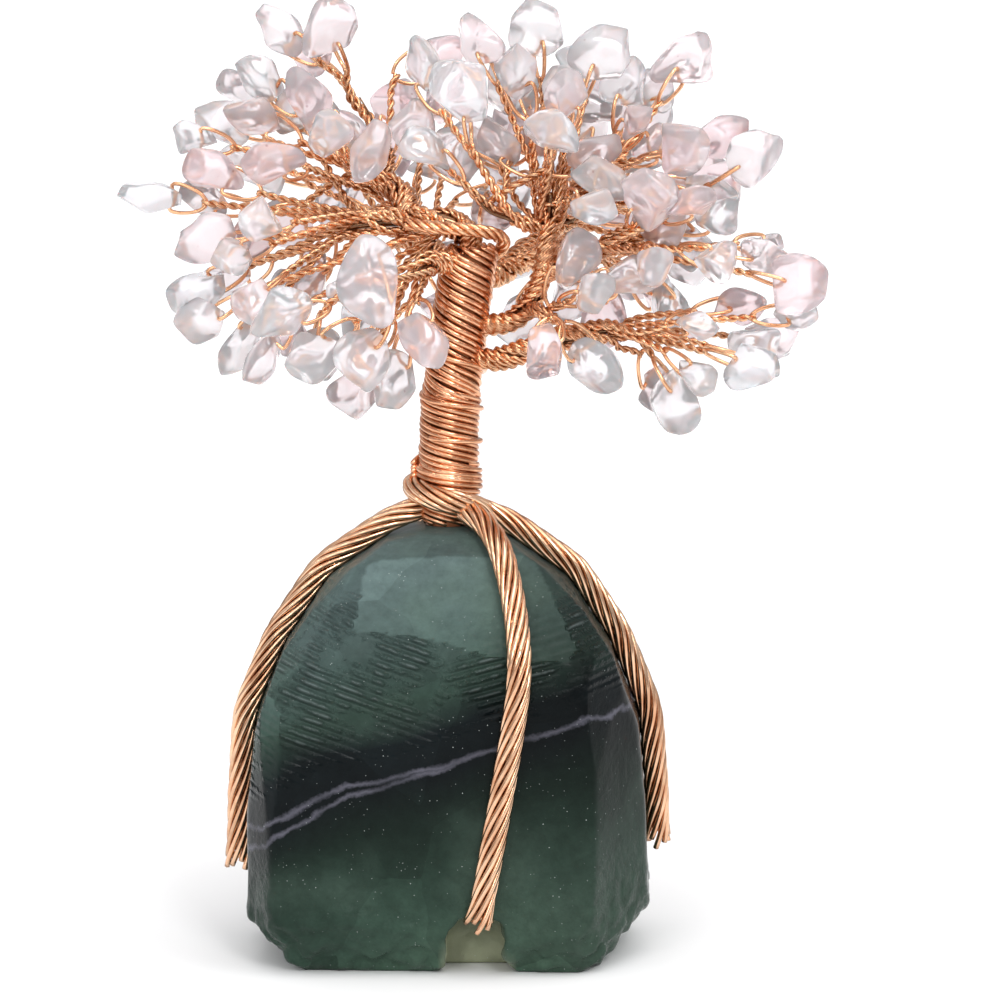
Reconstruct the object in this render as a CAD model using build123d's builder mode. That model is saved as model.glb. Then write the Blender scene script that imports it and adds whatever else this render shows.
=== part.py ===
"""Gemstone tree ornament: polished stone chips on twisted copper wire, standing on a raw stone.

Millimetres, +Z up. The origin is on the table under the trunk, and the front faces -Y.
"""
from build123d import *
import math
import os

os.makedirs("parts", exist_ok=True)

# Base stone: a split boulder with a domed top, ground flat under the trunk
STONE_WIDTH = 57.0
STONE_DEPTH = 42.0
STONE_HEIGHT = 61.5
FRONT_SPRING = 22.0       # height where the left and right sides start to lean in
SIDE_SPRING = 38.0        # height where the front and back start to lean in
PAD_CUT = 0.6             # taken off the crown so that the trunk has a flat seat
ARCH_FLATS = 10           # flats that each side of the dome is ground in, from foot to foot
FRONT_LEFT_CORNER = (4.0, 8.0)        # how far the plan's corners are broken away, along X and Y
FRONT_RIGHT_CORNER = (8.0, 12.8)
BACK_RIGHT_CORNER = (8.0, 11.2)
BACK_LEFT_CORNER = (10.4, 12.0)
EDGE_SLOPE = 0.8          # lean of the broken bottom edges
EDGE_CUTS = {-90: 3.0, 0: 5.5, 90: 3.5, 180: 5.5}     # their depth, by the compass angle of the side
# Facets ground off the dome on a wheel: the compass angle and climb that each faces, and its depth
FACETS = ((-96, 40, 0.8), (-142, 34, 1.8), (-46, 36, 1.6), (45, 35, 1.5), (92, 40, 0.8), (140, 36, 1.8))
NOTCH_WIDTH = 10.5        # at the table: the hollow broken out of the bottom edge below the front root
NOTCH_TOP = 6.5           # its width at the top
NOTCH_HEIGHT = 8.0
NOTCH_DEPTH = 9.0

# Roots: cables of twisted wire that run down over the stone and end on its sides
ROOT_RADIUS = 1.65
ROOT_LIFT = 0.4           # air between a root and the stone
# The side each root runs down, as a compass angle, the height where it is cut off, and its sideways
# wander, given at the trunk, at each flat of the dome and at the cut end
ROOTS = {
    "left_root": (180, 11.5, (0.5, 1.0, 2.2, 3.0, 3.0, 2.0, -1.0)),
    "right_root": (0, 14.5, (-1.5, -2.0, -2.6, -2.4, -1.5, 0.2, 2.5)),
    "front_root": (-90, 7.0, (3.0, 5.5, 8.0, 9.6, 10.2, 9.8, 4.2)),
    "back_root": (90, 9.0, (1.5, 3.0, 5.0, 6.3, 6.5, 5.8, 3.0)),
}

# Trunk: a plain core with one wire wound round it
TRUNK_LENGTH = 38.5
TRUNK_LEAN = 3.2          # how far the top stands to the right of the foot
CORE_RADIUS = 3.3
CORE_SIDES = 12
WRAP_WIRE = 0.95          # across the corners of its section
WRAP_SIDES = 3
WRAP_TURNS = 15
WRAP_PLAY = 0.15          # air between the core and the winding
WRAP_MARGIN = 1.2         # bare core below and above the winding

# Crown: twigs of thin wire, bundled into cables, each with one drilled chip
CHIP_LENGTH = 8.4         # an average chip, along its drilled length
CHIP_WIDTH = 6.9
CHIP_THICKNESS = 4.7
CHIP_RINGS = ((0, 0.4, 3), (0.3, 0.9, 4), (0.66, 1, 5), (1, 0.5, 3))  # place, girth and corners
CHIP_WEAR = 0.1           # how much a chip's corners differ from each other
CHIP_VARIETY = 17         # steps of the scatter from one chip to the next
TWIG_WIRE = 0.8           # across the corners of its four-sided section
WIRE_SIDES = 4
CABLE_SIDES = 6
TWIG_SPREAD = 0.2         # room between twigs where they leave their cable
TWIG_KNEE = 1.2           # how far a twig runs on before it bends towards its chip
SPARE_SEATS = 2           # empty places left among the twigs on a cable's end
EASING_PASSES = 400       # small turns that spread the twigs round their ring
LOOP_ROOM = 0.45          # air between a chip and the wire loop round its end
HOLE_EDGE = 2.1           # from a chip's inner end to the middle of its hole
HOLE_PLAY = 0.3           # air round the wire in a chip's hole
HUNG_HOLE_SIDES = 8
LOOP_NECK = 2.4           # from a chip's inner end to where its twig splits into the loop
SEAT_GAP = 0.4            # air where a cable leaves what carries it

PITCH = (CHIP_LENGTH + CHIP_WIDTH + CHIP_THICKNESS) / 2     # the crown's spacing of chips
WRAP_RADIUS = CORE_RADIUS + WRAP_PLAY + WRAP_WIRE / 2
WRAP_OUTER = WRAP_RADIUS + WRAP_WIRE / 2
TRUNK_BEND = (TRUNK_LENGTH**2 + TRUNK_LEAN**2) / (2 * TRUNK_LEAN)
TRUNK_TURN = 2 * math.atan2(TRUNK_LEAN, TRUNK_LENGTH)
TRUNK_ARC = TRUNK_TURN * TRUNK_BEND
GOLDEN = (math.sqrt(5) - 1) / 2
UP = Vector(0, 0, 1)

# Boughs that leave the trunk. Each is a cable with its own spray of twigs, given as
# leaves: compass angle from +X and distance below the trunk's top (None: from the top itself)
# route: the cable's points, and tips: the chips' centres and sizes, in pitches from the top
# hung: the chips that swing freely on their wire loop
BOUGHS = {
    "left_bough": dict(
        leaves=None,
        route=[(-0.35, 0.0, 0.52), (-0.85, -0.05, 0.5), (-1.4, -0.1, 0.46), (-1.85, -0.15, 0.4)],
        tips=[
            (-3.75, -0.3, -0.4, 0.8), (-3.7, -0.75, -0.85, 0.85), (-3.0, -1.3, -0.5, 0.9),
            (-3.64, 0.0, 0.24, 0.9), (-3.25, 0.35, -1.2, 0.8), (-2.85, -0.6, -1.3, 0.85),
            (-3.72, 0.6, 0.7, 0.85), (-4.45, 0.45, 0.82, 1.0), (-3.3, -1.0, 0.1, 0.8),
        ],
        hung={"left_front_chip": (-2.95, -1.3, 0.6, 1.0)},
    ),
    "left_low_bough": dict(
        leaves=(215, 1.5),
        route=[(-0.6, -0.75, -0.05), (-0.8, -0.95, -0.25)],
        tips=[
            (-2.55, -1.9, -0.7, 0.95), (-2.1, -1.25, -1.2, 0.85), (-1.5, -1.75, -1.25, 0.95),
            (-1.65, -0.75, -1.85, 1.0), (-1.0, -0.95, -1.6, 0.85), (-1.9, -0.75, -0.45, 0.8),
        ],
        hung={
            "long_front_chip": (-1.4, -2.35, -0.15, 1.35),
            "trunk_front_chip": (-0.65, -1.8, -0.95, 0.9),
        },
    ),
    "right_bough": dict(
        leaves=(0, 9.5),
        route=[(0.85, -0.05, -0.75), (1.08, -0.05, -0.2), (1.1, 0.0, 0.4), (1.14, 0.0, 0.95)],
        tips=[
            (0.63, -0.35, 2.6, 1.0), (1.43, -0.75, 2.5, 1.35), (0.95, 0.5, 3.1, 0.9),
            (0.45, 0.3, 1.5, 0.8), (0.1, 0.2, 2.95, 0.8), (1.5, 0.95, 2.6, 0.85),
        ],
        hung={"top_front_chip": (1.1, -1.05, 1.85, 1.05)},
    ),
    "right_low_bough": dict(
        leaves=(-20, 14.5),
        route=[(1.1, -0.15, -1.2), (1.75, -0.12, -1.1), (2.3, -0.1, -1.0)],
        tips=[
            (3.2, -1.15, -0.85, 1.0), (3.8, 0.35, -0.7, 0.9), (4.65, 0.1, -0.85, 0.85),
            (4.3, 1.1, -1.35, 0.9), (2.6, 0.55, -1.95, 0.9), (2.95, -0.1, -2.0, 0.85),
        ],
        hung={
            "right_low_front_chip": (3.2, -0.85, -1.65, 0.95),
            "right_low_outer_chip": (4.0, -0.65, -1.55, 1.15),
        },
    ),
    "back_left_bough": dict(
        leaves=(125, 2.0),
        route=[(-0.75, 1.15, 0.15), (-1.15, 1.7, 0.45)],
        tips=[
            (-2.6, 1.5, 0.3, 1.0), (-1.9, 3.0, 0.5, 1.05), (-3.0, 2.3, 1.05, 1.0),
            (-1.2, 3.3, 1.3, 1.0), (-2.3, 2.6, 1.9, 1.1), (-1.2, 2.4, 1.95, 1.0),
            (-1.3, 2.8, -0.5, 0.95), (-2.6, 1.9, -0.7, 1.0), (-0.5, 2.7, 1.1, 0.95),
        ],
        hung={"back_left_chip": (-1.6, 1.7, -0.95, 1.1)},
    ),
    "back_right_bough": dict(
        leaves=(55, 3.0),
        route=[(0.95, 1.15, 0.0), (1.45, 1.7, 0.3)],
        tips=[
            (3.0, 1.75, 0.0, 1.0), (2.2, 3.0, 0.2, 1.05), (3.3, 2.3, 0.95, 1.0),
            (1.4, 3.3, 1.0, 1.0), (2.5, 2.6, 1.85, 1.1), (1.35, 2.4, 2.2, 1.0),
            (1.5, 2.8, -0.75, 0.95), (2.9, 2.1, -0.95, 1.0), (0.6, 2.9, -0.35, 0.95),
        ],
        hung={"back_right_chip": (1.9, 1.75, -1.1, 1.1)},
    ),
}

# Side branches leave another cable: grows_from names it, at is the route point there
# and leave is the direction of the first run
BRANCHES = {
    "left_upper_branch": dict(
        grows_from="left_bough", at=1, leave=(-0.2, 0.5, 0.85),
        route=[(-1.2, 0.45, 0.92), (-1.65, 0.5, 1.12)],
        tips=[
            (-3.55, 0.6, 1.85, 0.95), (-3.2, 1.35, 2.15, 0.85), (-2.9, 0.95, 2.4, 0.85),
            (-2.2, 0.25, 2.1, 0.95), (-4.0, 0.15, 1.65, 0.9), (-3.4, 1.35, 1.2, 0.85),
            (-2.0, -0.4, 1.65, 0.85), (-1.4, -0.75, 1.6, 1.1),
        ],
        hung={"left_upper_chip": (-2.75, -0.75, 1.35, 0.95)},
    ),
    "left_top_branch": dict(
        grows_from="left_upper_branch", at=0, leave=(0.2, 0.65, 0.75),
        route=[(-1.3, 1.1, 1.7), (-1.65, 1.2, 2.25)],
        tips=[(-2.7, 1.2, 3.05, 0.85), (-2.0, 0.9, 3.1, 0.85), (-2.25, 2.0, 2.7, 0.8)],
        hung={},
    ),
    "top_left_branch": dict(
        grows_from="right_bough", at=2, leave=(-0.9, -0.35, 0.1),
        route=[(0.5, -0.3, 0.55), (0.2, -0.35, 0.65), (0.1, -0.35, 0.85)],
        tips=[(-0.9, 0.35, 1.75, 0.9), (-0.55, -0.4, 1.5, 0.8), (-0.65, 0.45, 2.55, 0.85)],
        hung={"crown_chip": (-0.1, -0.8, 2.4, 1.4)},
    ),
    "right_upper_branch": dict(
        grows_from="right_bough", at=2, leave=(0.75, 0.65, 0.1),
        route=[(1.7, 0.45, 0.85), (1.95, 0.5, 1.2)],
        tips=[
            (2.25, 0.8, 2.3, 0.9), (2.6, 1.55, 2.2, 0.85), (3.1, 1.15, 2.6, 0.95),
            (2.35, -0.1, 1.95, 0.9), (3.35, 0.65, 1.55, 0.9), (3.3, 0.35, 0.85, 0.85),
        ],
        hung={"right_upper_chip": (2.95, -0.55, 1.55, 1.15)},
    ),
    "right_middle_branch": dict(
        grows_from="right_bough", at=1, leave=(0.85, -0.45, 0.1),
        route=[(1.75, -0.35, 0.15), (2.25, -0.4, 0.3)],
        tips=[
            (2.45, -1.2, 1.0, 1.25), (3.5, -0.1, 0.55, 0.9), (3.6, -1.15, 0.0, 1.15),
            (4.1, -0.2, 0.0, 0.85), (4.35, 0.85, 0.05, 0.9), (4.6, -0.75, -0.4, 1.0),
        ],
        hung={"pink_front_chip": (2.55, -1.75, 0.0, 1.05)},
    ),
    "right_under_branch": dict(
        grows_from="right_bough", at=0, leave=(0.2, -0.97, 0.0),
        route=[(1.15, -0.8, -0.65)],
        tips=[(1.05, -1.5, -1.2, 0.9), (1.7, -0.9, -1.45, 0.95), (1.8, -1.5, -0.4, 1.2)],
        hung={},
    ),
}


def export(part, name):
    """Label a finished piece and write its STEP file."""
    part.label = name
    export_step(part, f"parts/{name}.step")


def spread(seed):
    """An even scatter of values from -1 to 1, the same in every build."""
    return 2 * ((seed * GOLDEN) % 1) - 1


def heading(compass):
    """The level direction at a compass angle in degrees from +X."""
    return Vector(math.cos(math.radians(compass)), math.sin(math.radians(compass)), 0)


def square_to(direction):
    """A level unit vector square to a direction, which positive turns about it lift."""
    return direction.cross(UP).normalized()


def trunk_point(along, reach=0.0, compass=0.0):
    """A point at a length along the bent trunk, a reach from its axis at a compass angle."""
    turn = along / TRUNK_BEND
    axis = Vector(TRUNK_BEND * (1 - math.cos(turn)), 0, STONE_HEIGHT + TRUNK_BEND * math.sin(turn))
    around = heading(compass) * reach
    return axis + Vector(math.cos(turn), 0, -math.sin(turn)) * around.X + Vector(0, around.Y, 0)


def bent_wire(points, radius, sides):
    """A stiff wire or cable of few sides, in straight runs with mitred bends."""
    with BuildPart() as built:
        with BuildLine() as line:
            Polyline(*points)
        with BuildSketch(Plane(points[0], z_dir=points[1] - points[0])):
            RegularPolygon(radius, sides)
        sweep(path=line.wire(), transition=Transition.RIGHT)
    return built.part


def root_face(compass):
    """Reach, spring and rise of the arch on the side of the stone that a root runs down."""
    if compass % 180 == 0:
        return STONE_WIDTH / 2, FRONT_SPRING, STONE_HEIGHT + PAD_CUT - FRONT_SPRING
    return STONE_DEPTH / 2, SIDE_SPRING, STONE_HEIGHT + PAD_CUT - SIDE_SPRING


def arch(reach, spring, rise):
    """The flats of an arch, from its left foot over the crown to its right foot."""
    turns = [math.pi * (1 - flat / ARCH_FLATS) for flat in range(ARCH_FLATS + 1)]
    return [(reach * math.cos(turn), spring + rise * math.sin(turn)) for turn in turns]


# Base stone: two arches crossed, cut to a broken plan, ground in facets, chipped and notched
half_width = STONE_WIDTH / 2
half_depth = STONE_DEPTH / 2
front_arch = arch(*root_face(0))
side_arch = arch(*root_face(90))

with BuildPart() as stone:
    with BuildSketch(Plane.XZ):
        with BuildLine():
            Polyline((-half_width, 0), *front_arch, (half_width, 0), close=True)
        make_face()
    extrude(amount=STONE_DEPTH, both=True)
    with BuildSketch(Plane.YZ):
        with BuildLine():
            Polyline((-half_depth, 0), *side_arch, (half_depth, 0), close=True)
        make_face()
    extrude(amount=STONE_WIDTH, both=True, mode=Mode.INTERSECT)
    with BuildSketch(Plane.XY):
        with BuildLine():
            Polyline(
                (-half_width + FRONT_LEFT_CORNER[0], -half_depth),
                (half_width - FRONT_RIGHT_CORNER[0], -half_depth),
                (half_width, -half_depth + FRONT_RIGHT_CORNER[1]),
                (half_width, half_depth - BACK_RIGHT_CORNER[1]),
                (half_width - BACK_RIGHT_CORNER[0], half_depth),
                (-half_width + BACK_LEFT_CORNER[0], half_depth),
                (-half_width, half_depth - BACK_LEFT_CORNER[1]),
                (-half_width, -half_depth + FRONT_LEFT_CORNER[1]),
                close=True,
            )
        make_face()
    extrude(amount=STONE_HEIGHT, mode=Mode.INTERSECT)
    for compass, climb, depth in FACETS:
        level = math.cos(math.radians(climb))
        facing = heading(compass) * level + UP * math.sin(math.radians(climb))
        proud = max(Vector(corner.X, corner.Y, corner.Z).dot(facing) for corner in stone.vertices())
        split(bisect_by=Plane(facing * (proud - depth), z_dir=facing), keep=Keep.BOTTOM)
    for compass, cut in EDGE_CUTS.items():
        outward = heading(compass)
        foot = outward * (root_face(compass)[0] - cut)
        split(bisect_by=Plane(foot, z_dir=outward - UP * EDGE_SLOPE), keep=Keep.BOTTOM)
    front_wander = ROOTS["front_root"][2]
    with BuildSketch(Plane.XZ.offset(half_depth)):
        with BuildLine():
            Polyline(
                (front_wander[-1] - NOTCH_WIDTH / 2, 0), (front_wander[-1] - NOTCH_TOP / 2, NOTCH_HEIGHT),
                (front_wander[-1] + NOTCH_TOP / 2, NOTCH_HEIGHT), (front_wander[-1] + NOTCH_WIDTH / 2, 0),
                close=True,
            )
        make_face()
    extrude(amount=-NOTCH_DEPTH, mode=Mode.SUBTRACT)
export(stone.part, "base_stone")

# Roots: from the foot of the trunk down over the stone
root_lift = ROOT_RADIUS + ROOT_LIFT

for name, (compass, end_height, wander) in ROOTS.items():
    outward = heading(compass)
    aside = UP.cross(outward)
    reach, spring, rise = root_face(compass)
    route = [outward * (WRAP_OUTER + SEAT_GAP) + aside * wander[0] + UP * (STONE_HEIGHT + root_lift)]
    for flat, shift in enumerate(wander[1:-1], start=1):
        climb = math.pi / 2 - flat * math.pi / ARCH_FLATS
        out = outward * ((reach + root_lift) * math.cos(climb))
        route.append(out + aside * shift + UP * (spring + (rise + root_lift) * math.sin(climb)))
    route.append(outward * (reach + root_lift) + aside * wander[-1] + UP * end_height)
    with BuildPart() as root:
        add(bent_wire(route, ROOT_RADIUS, CABLE_SIDES))
    export(root.part, name)

# Trunk core: the bundle of wires inside the winding, leaning a little to the right
with BuildPart() as core:
    with BuildLine() as core_line:
        ThreePointArc(trunk_point(0), trunk_point(TRUNK_ARC / 2), trunk_point(TRUNK_ARC))
    with BuildSketch(Plane.XY.offset(STONE_HEIGHT)):
        RegularPolygon(CORE_RADIUS, CORE_SIDES)
    sweep(path=core_line.wire())
export(core.part, "trunk_core")

# Trunk winding: one wire wound up the core in half turns, each made of two arcs
wrap_rise = (TRUNK_ARC - 2 * WRAP_MARGIN) / WRAP_TURNS


def wrap_point(turns):
    """The middle of the winding's wire after a number of left-handed turns."""
    return trunk_point(WRAP_MARGIN + wrap_rise * turns, WRAP_RADIUS, -360 * turns)


def wrap_heading(turns, step=0.001):
    """The direction of the winding's wire after a number of turns."""
    return (wrap_point(turns + step) - wrap_point(turns - step)).normalized()


with BuildPart() as wrap:
    with BuildLine() as wrap_line:
        lead = wrap_point(0) - wrap_heading(0) * WRAP_WIRE
        Line(lead, wrap_point(0))
        for half in range(2 * WRAP_TURNS):
            begin = wrap_point(half / 2)
            end = wrap_point(half / 2 + 0.5)
            begin_heading = wrap_heading(half / 2)
            end_heading = wrap_heading(half / 2 + 0.5)
            chord = end - begin
            along = chord.dot(begin_heading + end_heading)
            bend = 2 * (1 - begin_heading.dot(end_heading))
            arm = (math.sqrt(along**2 + bend * chord.dot(chord)) - along) / bend
            first_knee = begin + begin_heading * arm
            second_knee = end - end_heading * arm
            joint = (first_knee + second_knee) / 2
            TangentArc(begin, joint, tangent=begin_heading)
            TangentArc(joint, end, tangent=second_knee - first_knee)
        last = wrap_point(WRAP_TURNS)
        Line(last, last + wrap_heading(WRAP_TURNS) * WRAP_WIRE)
    with BuildSketch(Plane(lead, x_dir=(0, 0, 1), z_dir=wrap_heading(0))):
        RegularPolygon(WRAP_WIRE / 2, WRAP_SIDES)
    sweep(path=wrap_line.wire())
export(wrap.part, "trunk_wrap")

marks_per_turn = 24
marks = [wrap_point(mark / marks_per_turn) for mark in range(WRAP_TURNS * marks_per_turn + 1)]
wrap_gap = min(
    (later - earlier).length
    for place, earlier in enumerate(marks)
    for later in marks[place + marks_per_turn // 2:place + 2 * marks_per_turn]
) - WRAP_WIRE
print(f"trunk_wrap: least gap to itself {wrap_gap:.2f} mm")


def chip(inner, outward, across, size, hole_sides, seed):
    """One tumbled chip: blunt at both ends, thin across, and drilled near its inner end."""
    aside = outward.cross(across)
    corners = []
    for place, girth, count in CHIP_RINGS:
        for corner in range(count):
            seed += 1
            angle = 2 * math.pi * (corner + place + spread(seed) / count) / count
            swell = girth * size * (1 + CHIP_WEAR * spread(seed + 0.5)) / 2
            corners.append(
                inner + outward * (CHIP_LENGTH * size * place)
                + aside * (swell * CHIP_WIDTH * math.cos(angle))
                + across * (swell * CHIP_THICKNESS * math.sin(angle))
            )
    with BuildPart() as built:
        ConvexPolyhedron(corners)
        with BuildSketch(Plane(inner + outward * HOLE_EDGE, x_dir=outward, z_dir=across)):
            RegularPolygon(TWIG_WIRE / 2 + HOLE_PLAY, hole_sides)
        extrude(amount=CHIP_THICKNESS * size, both=True, mode=Mode.SUBTRACT)
    return built.part


def in_crown(place):
    """A point given in pitches from the top of the trunk."""
    return trunk_point(TRUNK_ARC) + Vector(*place[:3]) * PITCH


def ease_apart(angles, least):
    """Turn a ring of sorted angles apart until neighbours are the least angle from each other."""
    eased = list(angles)
    for _ in range(EASING_PASSES):
        for here in range(len(eased)):
            following = (here + 1) % len(eased)
            lap = 2 * math.pi if following == 0 else 0
            shortfall = least - (eased[following] + lap - eased[here])
            if shortfall > 0:
                eased[here] -= shortfall / 2
                eased[following] += shortfall / 2
    return eased


# Crown cables: each starts a seat's gap from the trunk or from the cable that it grows from
sprays = {**BOUGHS, **BRANCHES}
routes = {}
rings = {}
for name, spray in sprays.items():
    seats = len(spray["tips"]) + len(spray["hung"]) + SPARE_SEATS
    rings[name] = seats * (TWIG_WIRE + TWIG_SPREAD) / (2 * math.pi)
    radius = rings[name] + TWIG_WIRE / 2
    if name in BRANCHES:
        carrier = spray["grows_from"]
        leave = Vector(*spray["leave"]).normalized()
        clear = rings[carrier] + TWIG_WIRE / 2 + SEAT_GAP
        start = in_crown(sprays[carrier]["route"][spray["at"]]) + leave * clear
    elif spray["leaves"]:
        compass, below = spray["leaves"]
        leave = heading(compass)
        start = trunk_point(TRUNK_ARC - below, WRAP_OUTER + SEAT_GAP, compass)
    else:
        leave = Vector(math.sin(TRUNK_TURN), 0, math.cos(TRUNK_TURN))
        start = trunk_point(TRUNK_ARC) + leave * SEAT_GAP
    routes[name] = [start, start + leave * radius] + [in_crown(place) for place in spray["route"]]
    with BuildPart() as cable:
        add(bent_wire(routes[name], radius, CABLE_SIDES))
    export(cable.part, f"{name}_cable")
    if name in BOUGHS:
        hinge = square_to(routes[name][2] - start)
        print(f"{name}: hinge {start.X:.3f} {start.Y:.3f} {start.Z:.3f} {hinge.X:.5f} {hinge.Y:.5f} 0")

# Twigs and chips: the twigs leave a cable's end in a ring, and each ends in a loop through a chip
seed = 0
for name, spray in sprays.items():
    fork = routes[name][-1]
    onward = (fork - routes[name][-2]).normalized()
    level = square_to(onward)
    upright = onward.cross(level)
    tips = []
    for hung_name, tip in [(None, tip) for tip in spray["tips"]] + list(spray["hung"].items()):
        reach = in_crown(tip) - fork
        bearing = math.atan2(reach.dot(upright), reach.dot(level))
        tips.append((bearing, hung_name, tip))
    tips.sort(key=lambda entry: entry[0])
    seats = ease_apart([entry[0] for entry in tips], 2 * math.pi / (len(tips) + SPARE_SEATS))
    wires = []
    fixed_chips = []
    for seat, (bearing, hung_name, tip) in zip(seats, tips):
        seed += 1
        size = tip[3]
        outward = (in_crown(tip) - fork).normalized()
        across = square_to(outward).rotate(Axis((0, 0, 0), outward), 360 * GOLDEN * seed)
        inner = in_crown(tip) - outward * (CHIP_LENGTH * size / 2)
        hole = inner + outward * HOLE_EDGE
        span = across * (CHIP_RINGS[1][1] * CHIP_THICKNESS * size / 2 + LOOP_ROOM + TWIG_WIRE / 2)
        neck = inner - outward * LOOP_NECK
        tail = neck - across * (2 * TWIG_WIRE)
        foot = fork + (level * math.cos(seat) + upright * math.sin(seat)) * rings[name]
        knee = foot + onward * TWIG_KNEE
        wires.append(bent_wire([foot, knee, neck, hole + span, hole - span, tail], TWIG_WIRE / 2, WIRE_SIDES))
        if hung_name:
            with BuildPart() as hung_chip:
                add(chip(inner, outward, across, size, HUNG_HOLE_SIDES, CHIP_VARIETY * seed))
            export(hung_chip.part, hung_name)
            print(f"{hung_name}: hinge {hole.X:.3f} {hole.Y:.3f} {hole.Z:.3f} "
                  f"{across.X:.5f} {across.Y:.5f} {across.Z:.5f} on {name}")
        else:
            fixed_chips.append(chip(inner, outward, across, size, WIRE_SIDES, CHIP_VARIETY * seed))
    with BuildPart() as twigs:
        add(wires)
    export(twigs.part, f"{name}_twigs")
    with BuildPart() as chips:
        add(fixed_chips)
    export(chips.part, f"{name}_chips")
    print(f"{name}: {len(twigs.solids())} twigs of {len(tips)}, "
          f"{len(chips.solids())} fixed chips of {len(fixed_chips)}")
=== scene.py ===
import math
import bpy
import bmesh
import numpy as np
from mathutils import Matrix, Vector, noise
from mathutils.bvhtree import BVHTree


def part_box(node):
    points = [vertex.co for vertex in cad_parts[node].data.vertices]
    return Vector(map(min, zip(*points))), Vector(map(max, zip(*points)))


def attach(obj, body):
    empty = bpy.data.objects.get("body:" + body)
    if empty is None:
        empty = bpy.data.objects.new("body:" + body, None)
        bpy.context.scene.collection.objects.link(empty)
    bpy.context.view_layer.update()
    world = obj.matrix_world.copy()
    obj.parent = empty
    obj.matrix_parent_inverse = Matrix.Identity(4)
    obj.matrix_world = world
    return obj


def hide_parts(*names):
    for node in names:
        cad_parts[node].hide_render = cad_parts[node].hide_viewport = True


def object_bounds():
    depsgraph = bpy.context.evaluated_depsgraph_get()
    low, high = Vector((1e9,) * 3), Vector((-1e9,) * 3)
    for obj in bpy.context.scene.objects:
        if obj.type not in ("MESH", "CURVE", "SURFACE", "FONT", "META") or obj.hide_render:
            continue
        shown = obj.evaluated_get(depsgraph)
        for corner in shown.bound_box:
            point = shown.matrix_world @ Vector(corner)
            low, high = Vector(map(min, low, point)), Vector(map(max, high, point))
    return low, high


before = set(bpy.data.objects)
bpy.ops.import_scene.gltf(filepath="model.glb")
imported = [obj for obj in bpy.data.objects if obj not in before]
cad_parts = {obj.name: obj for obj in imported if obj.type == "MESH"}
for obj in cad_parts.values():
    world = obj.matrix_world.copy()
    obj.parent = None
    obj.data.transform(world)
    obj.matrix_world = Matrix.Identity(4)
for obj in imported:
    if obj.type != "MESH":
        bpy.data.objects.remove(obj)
cad_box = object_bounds()
bpy.context.scene.view_settings.view_transform = "Standard"


# Base stone. A lump of dark green fluorite with a violet vein, as it came out of the ground:
# the top is ground to a dome on a wheel, the lower edge is left where it split, and the foot
# is sawn flat.
def add_node(tree, kind, inputs=None, **settings):
    """Put one shader node in a tree, with its settings, values and links."""
    made = tree.nodes.new(kind)
    for name, value in settings.items():
        setattr(made, name, value)
    for name, value in (inputs or {}).items():
        if isinstance(value, bpy.types.NodeSocket):
            tree.links.new(value, made.inputs[name])
        else:
            made.inputs[name].default_value = value
    return made


def work_out(tree, operation, *values):
    """The result of one sum on numbers or on what other nodes put out."""
    return add_node(tree, "ShaderNodeMath", dict(enumerate(values)), operation=operation).outputs[0]


def overlap(tree, mask, *others):
    """Where several masks hold at once."""
    for other in others:
        mask = work_out(tree, "MULTIPLY", mask, other)
    return mask


def fade(tree, value, start, end, first=0.0, last=1.0):
    """A value that goes from first to last while another goes from start to end."""
    return add_node(tree, "ShaderNodeMapRange", {
        0: value, 1: start, 2: end, 3: first, 4: last}).outputs[0]


def blotches(tree, place, scale, detail, roughness=0.5):
    """Soft blotches, finer with a larger scale."""
    return add_node(tree, "ShaderNodeTexNoise", {
        "Vector": place, "Scale": scale, "Detail": detail, "Roughness": roughness}).outputs[0]


def scaled(tree, vector, factor):
    """A colour or place made larger or smaller."""
    return add_node(tree, "ShaderNodeVectorMath", {0: vector, "Scale": factor},
                    operation="SCALE").outputs[0]


def lay_over(tree, share, under, over):
    """One colour laid over another where the share says."""
    return add_node(tree, "ShaderNodeMix", {"Factor": share, 6: under, 7: over},
                    data_type="RGBA").outputs[2]


def ramp(tree, value, stops):
    """A colour ramp with the given places and colours."""
    made = add_node(tree, "ShaderNodeValToRGB", {0: value})
    steps = made.color_ramp.elements
    while len(steps) < len(stops):
        steps.new(0.5)
    for step, (place, colour) in zip(steps, stops):
        step.position = place
        step.color = (*colour, 1)
    return made.outputs[0]


def new_group(name, inputs, outputs):
    """An empty node group with its named sockets: the group, what it is given and what it puts out."""
    group = bpy.data.node_groups.new(name, "ShaderNodeTree")
    for way, sockets in (("INPUT", inputs), ("OUTPUT", outputs)):
        for socket, kind in sockets.items():
            group.interface.new_socket(socket, in_out=way, socket_type="NodeSocket" + kind)
    return group, group.nodes.new("NodeGroupInput").outputs, group.nodes.new("NodeGroupOutput").inputs


def new_material(name):
    """An empty material with its surface shader."""
    material = bpy.data.materials.new(name)
    material.use_nodes = True
    tree = material.node_tree
    return material, tree, tree.nodes["Principled BSDF"]


def place_piece(name, mesh, material, body, replaced):
    """Put a finished mesh in the scene on its body, in place of its CAD nodes."""
    piece = bpy.data.objects.new(name, mesh)
    bpy.context.scene.collection.objects.link(piece)
    mesh.materials.clear()
    mesh.materials.append(material)
    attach(piece, body)
    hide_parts(*replaced)
    return piece


def scattered(number, step):
    """A share from 0 to 1 that jumps about as the number goes up."""
    return (number * step) % 1


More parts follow.
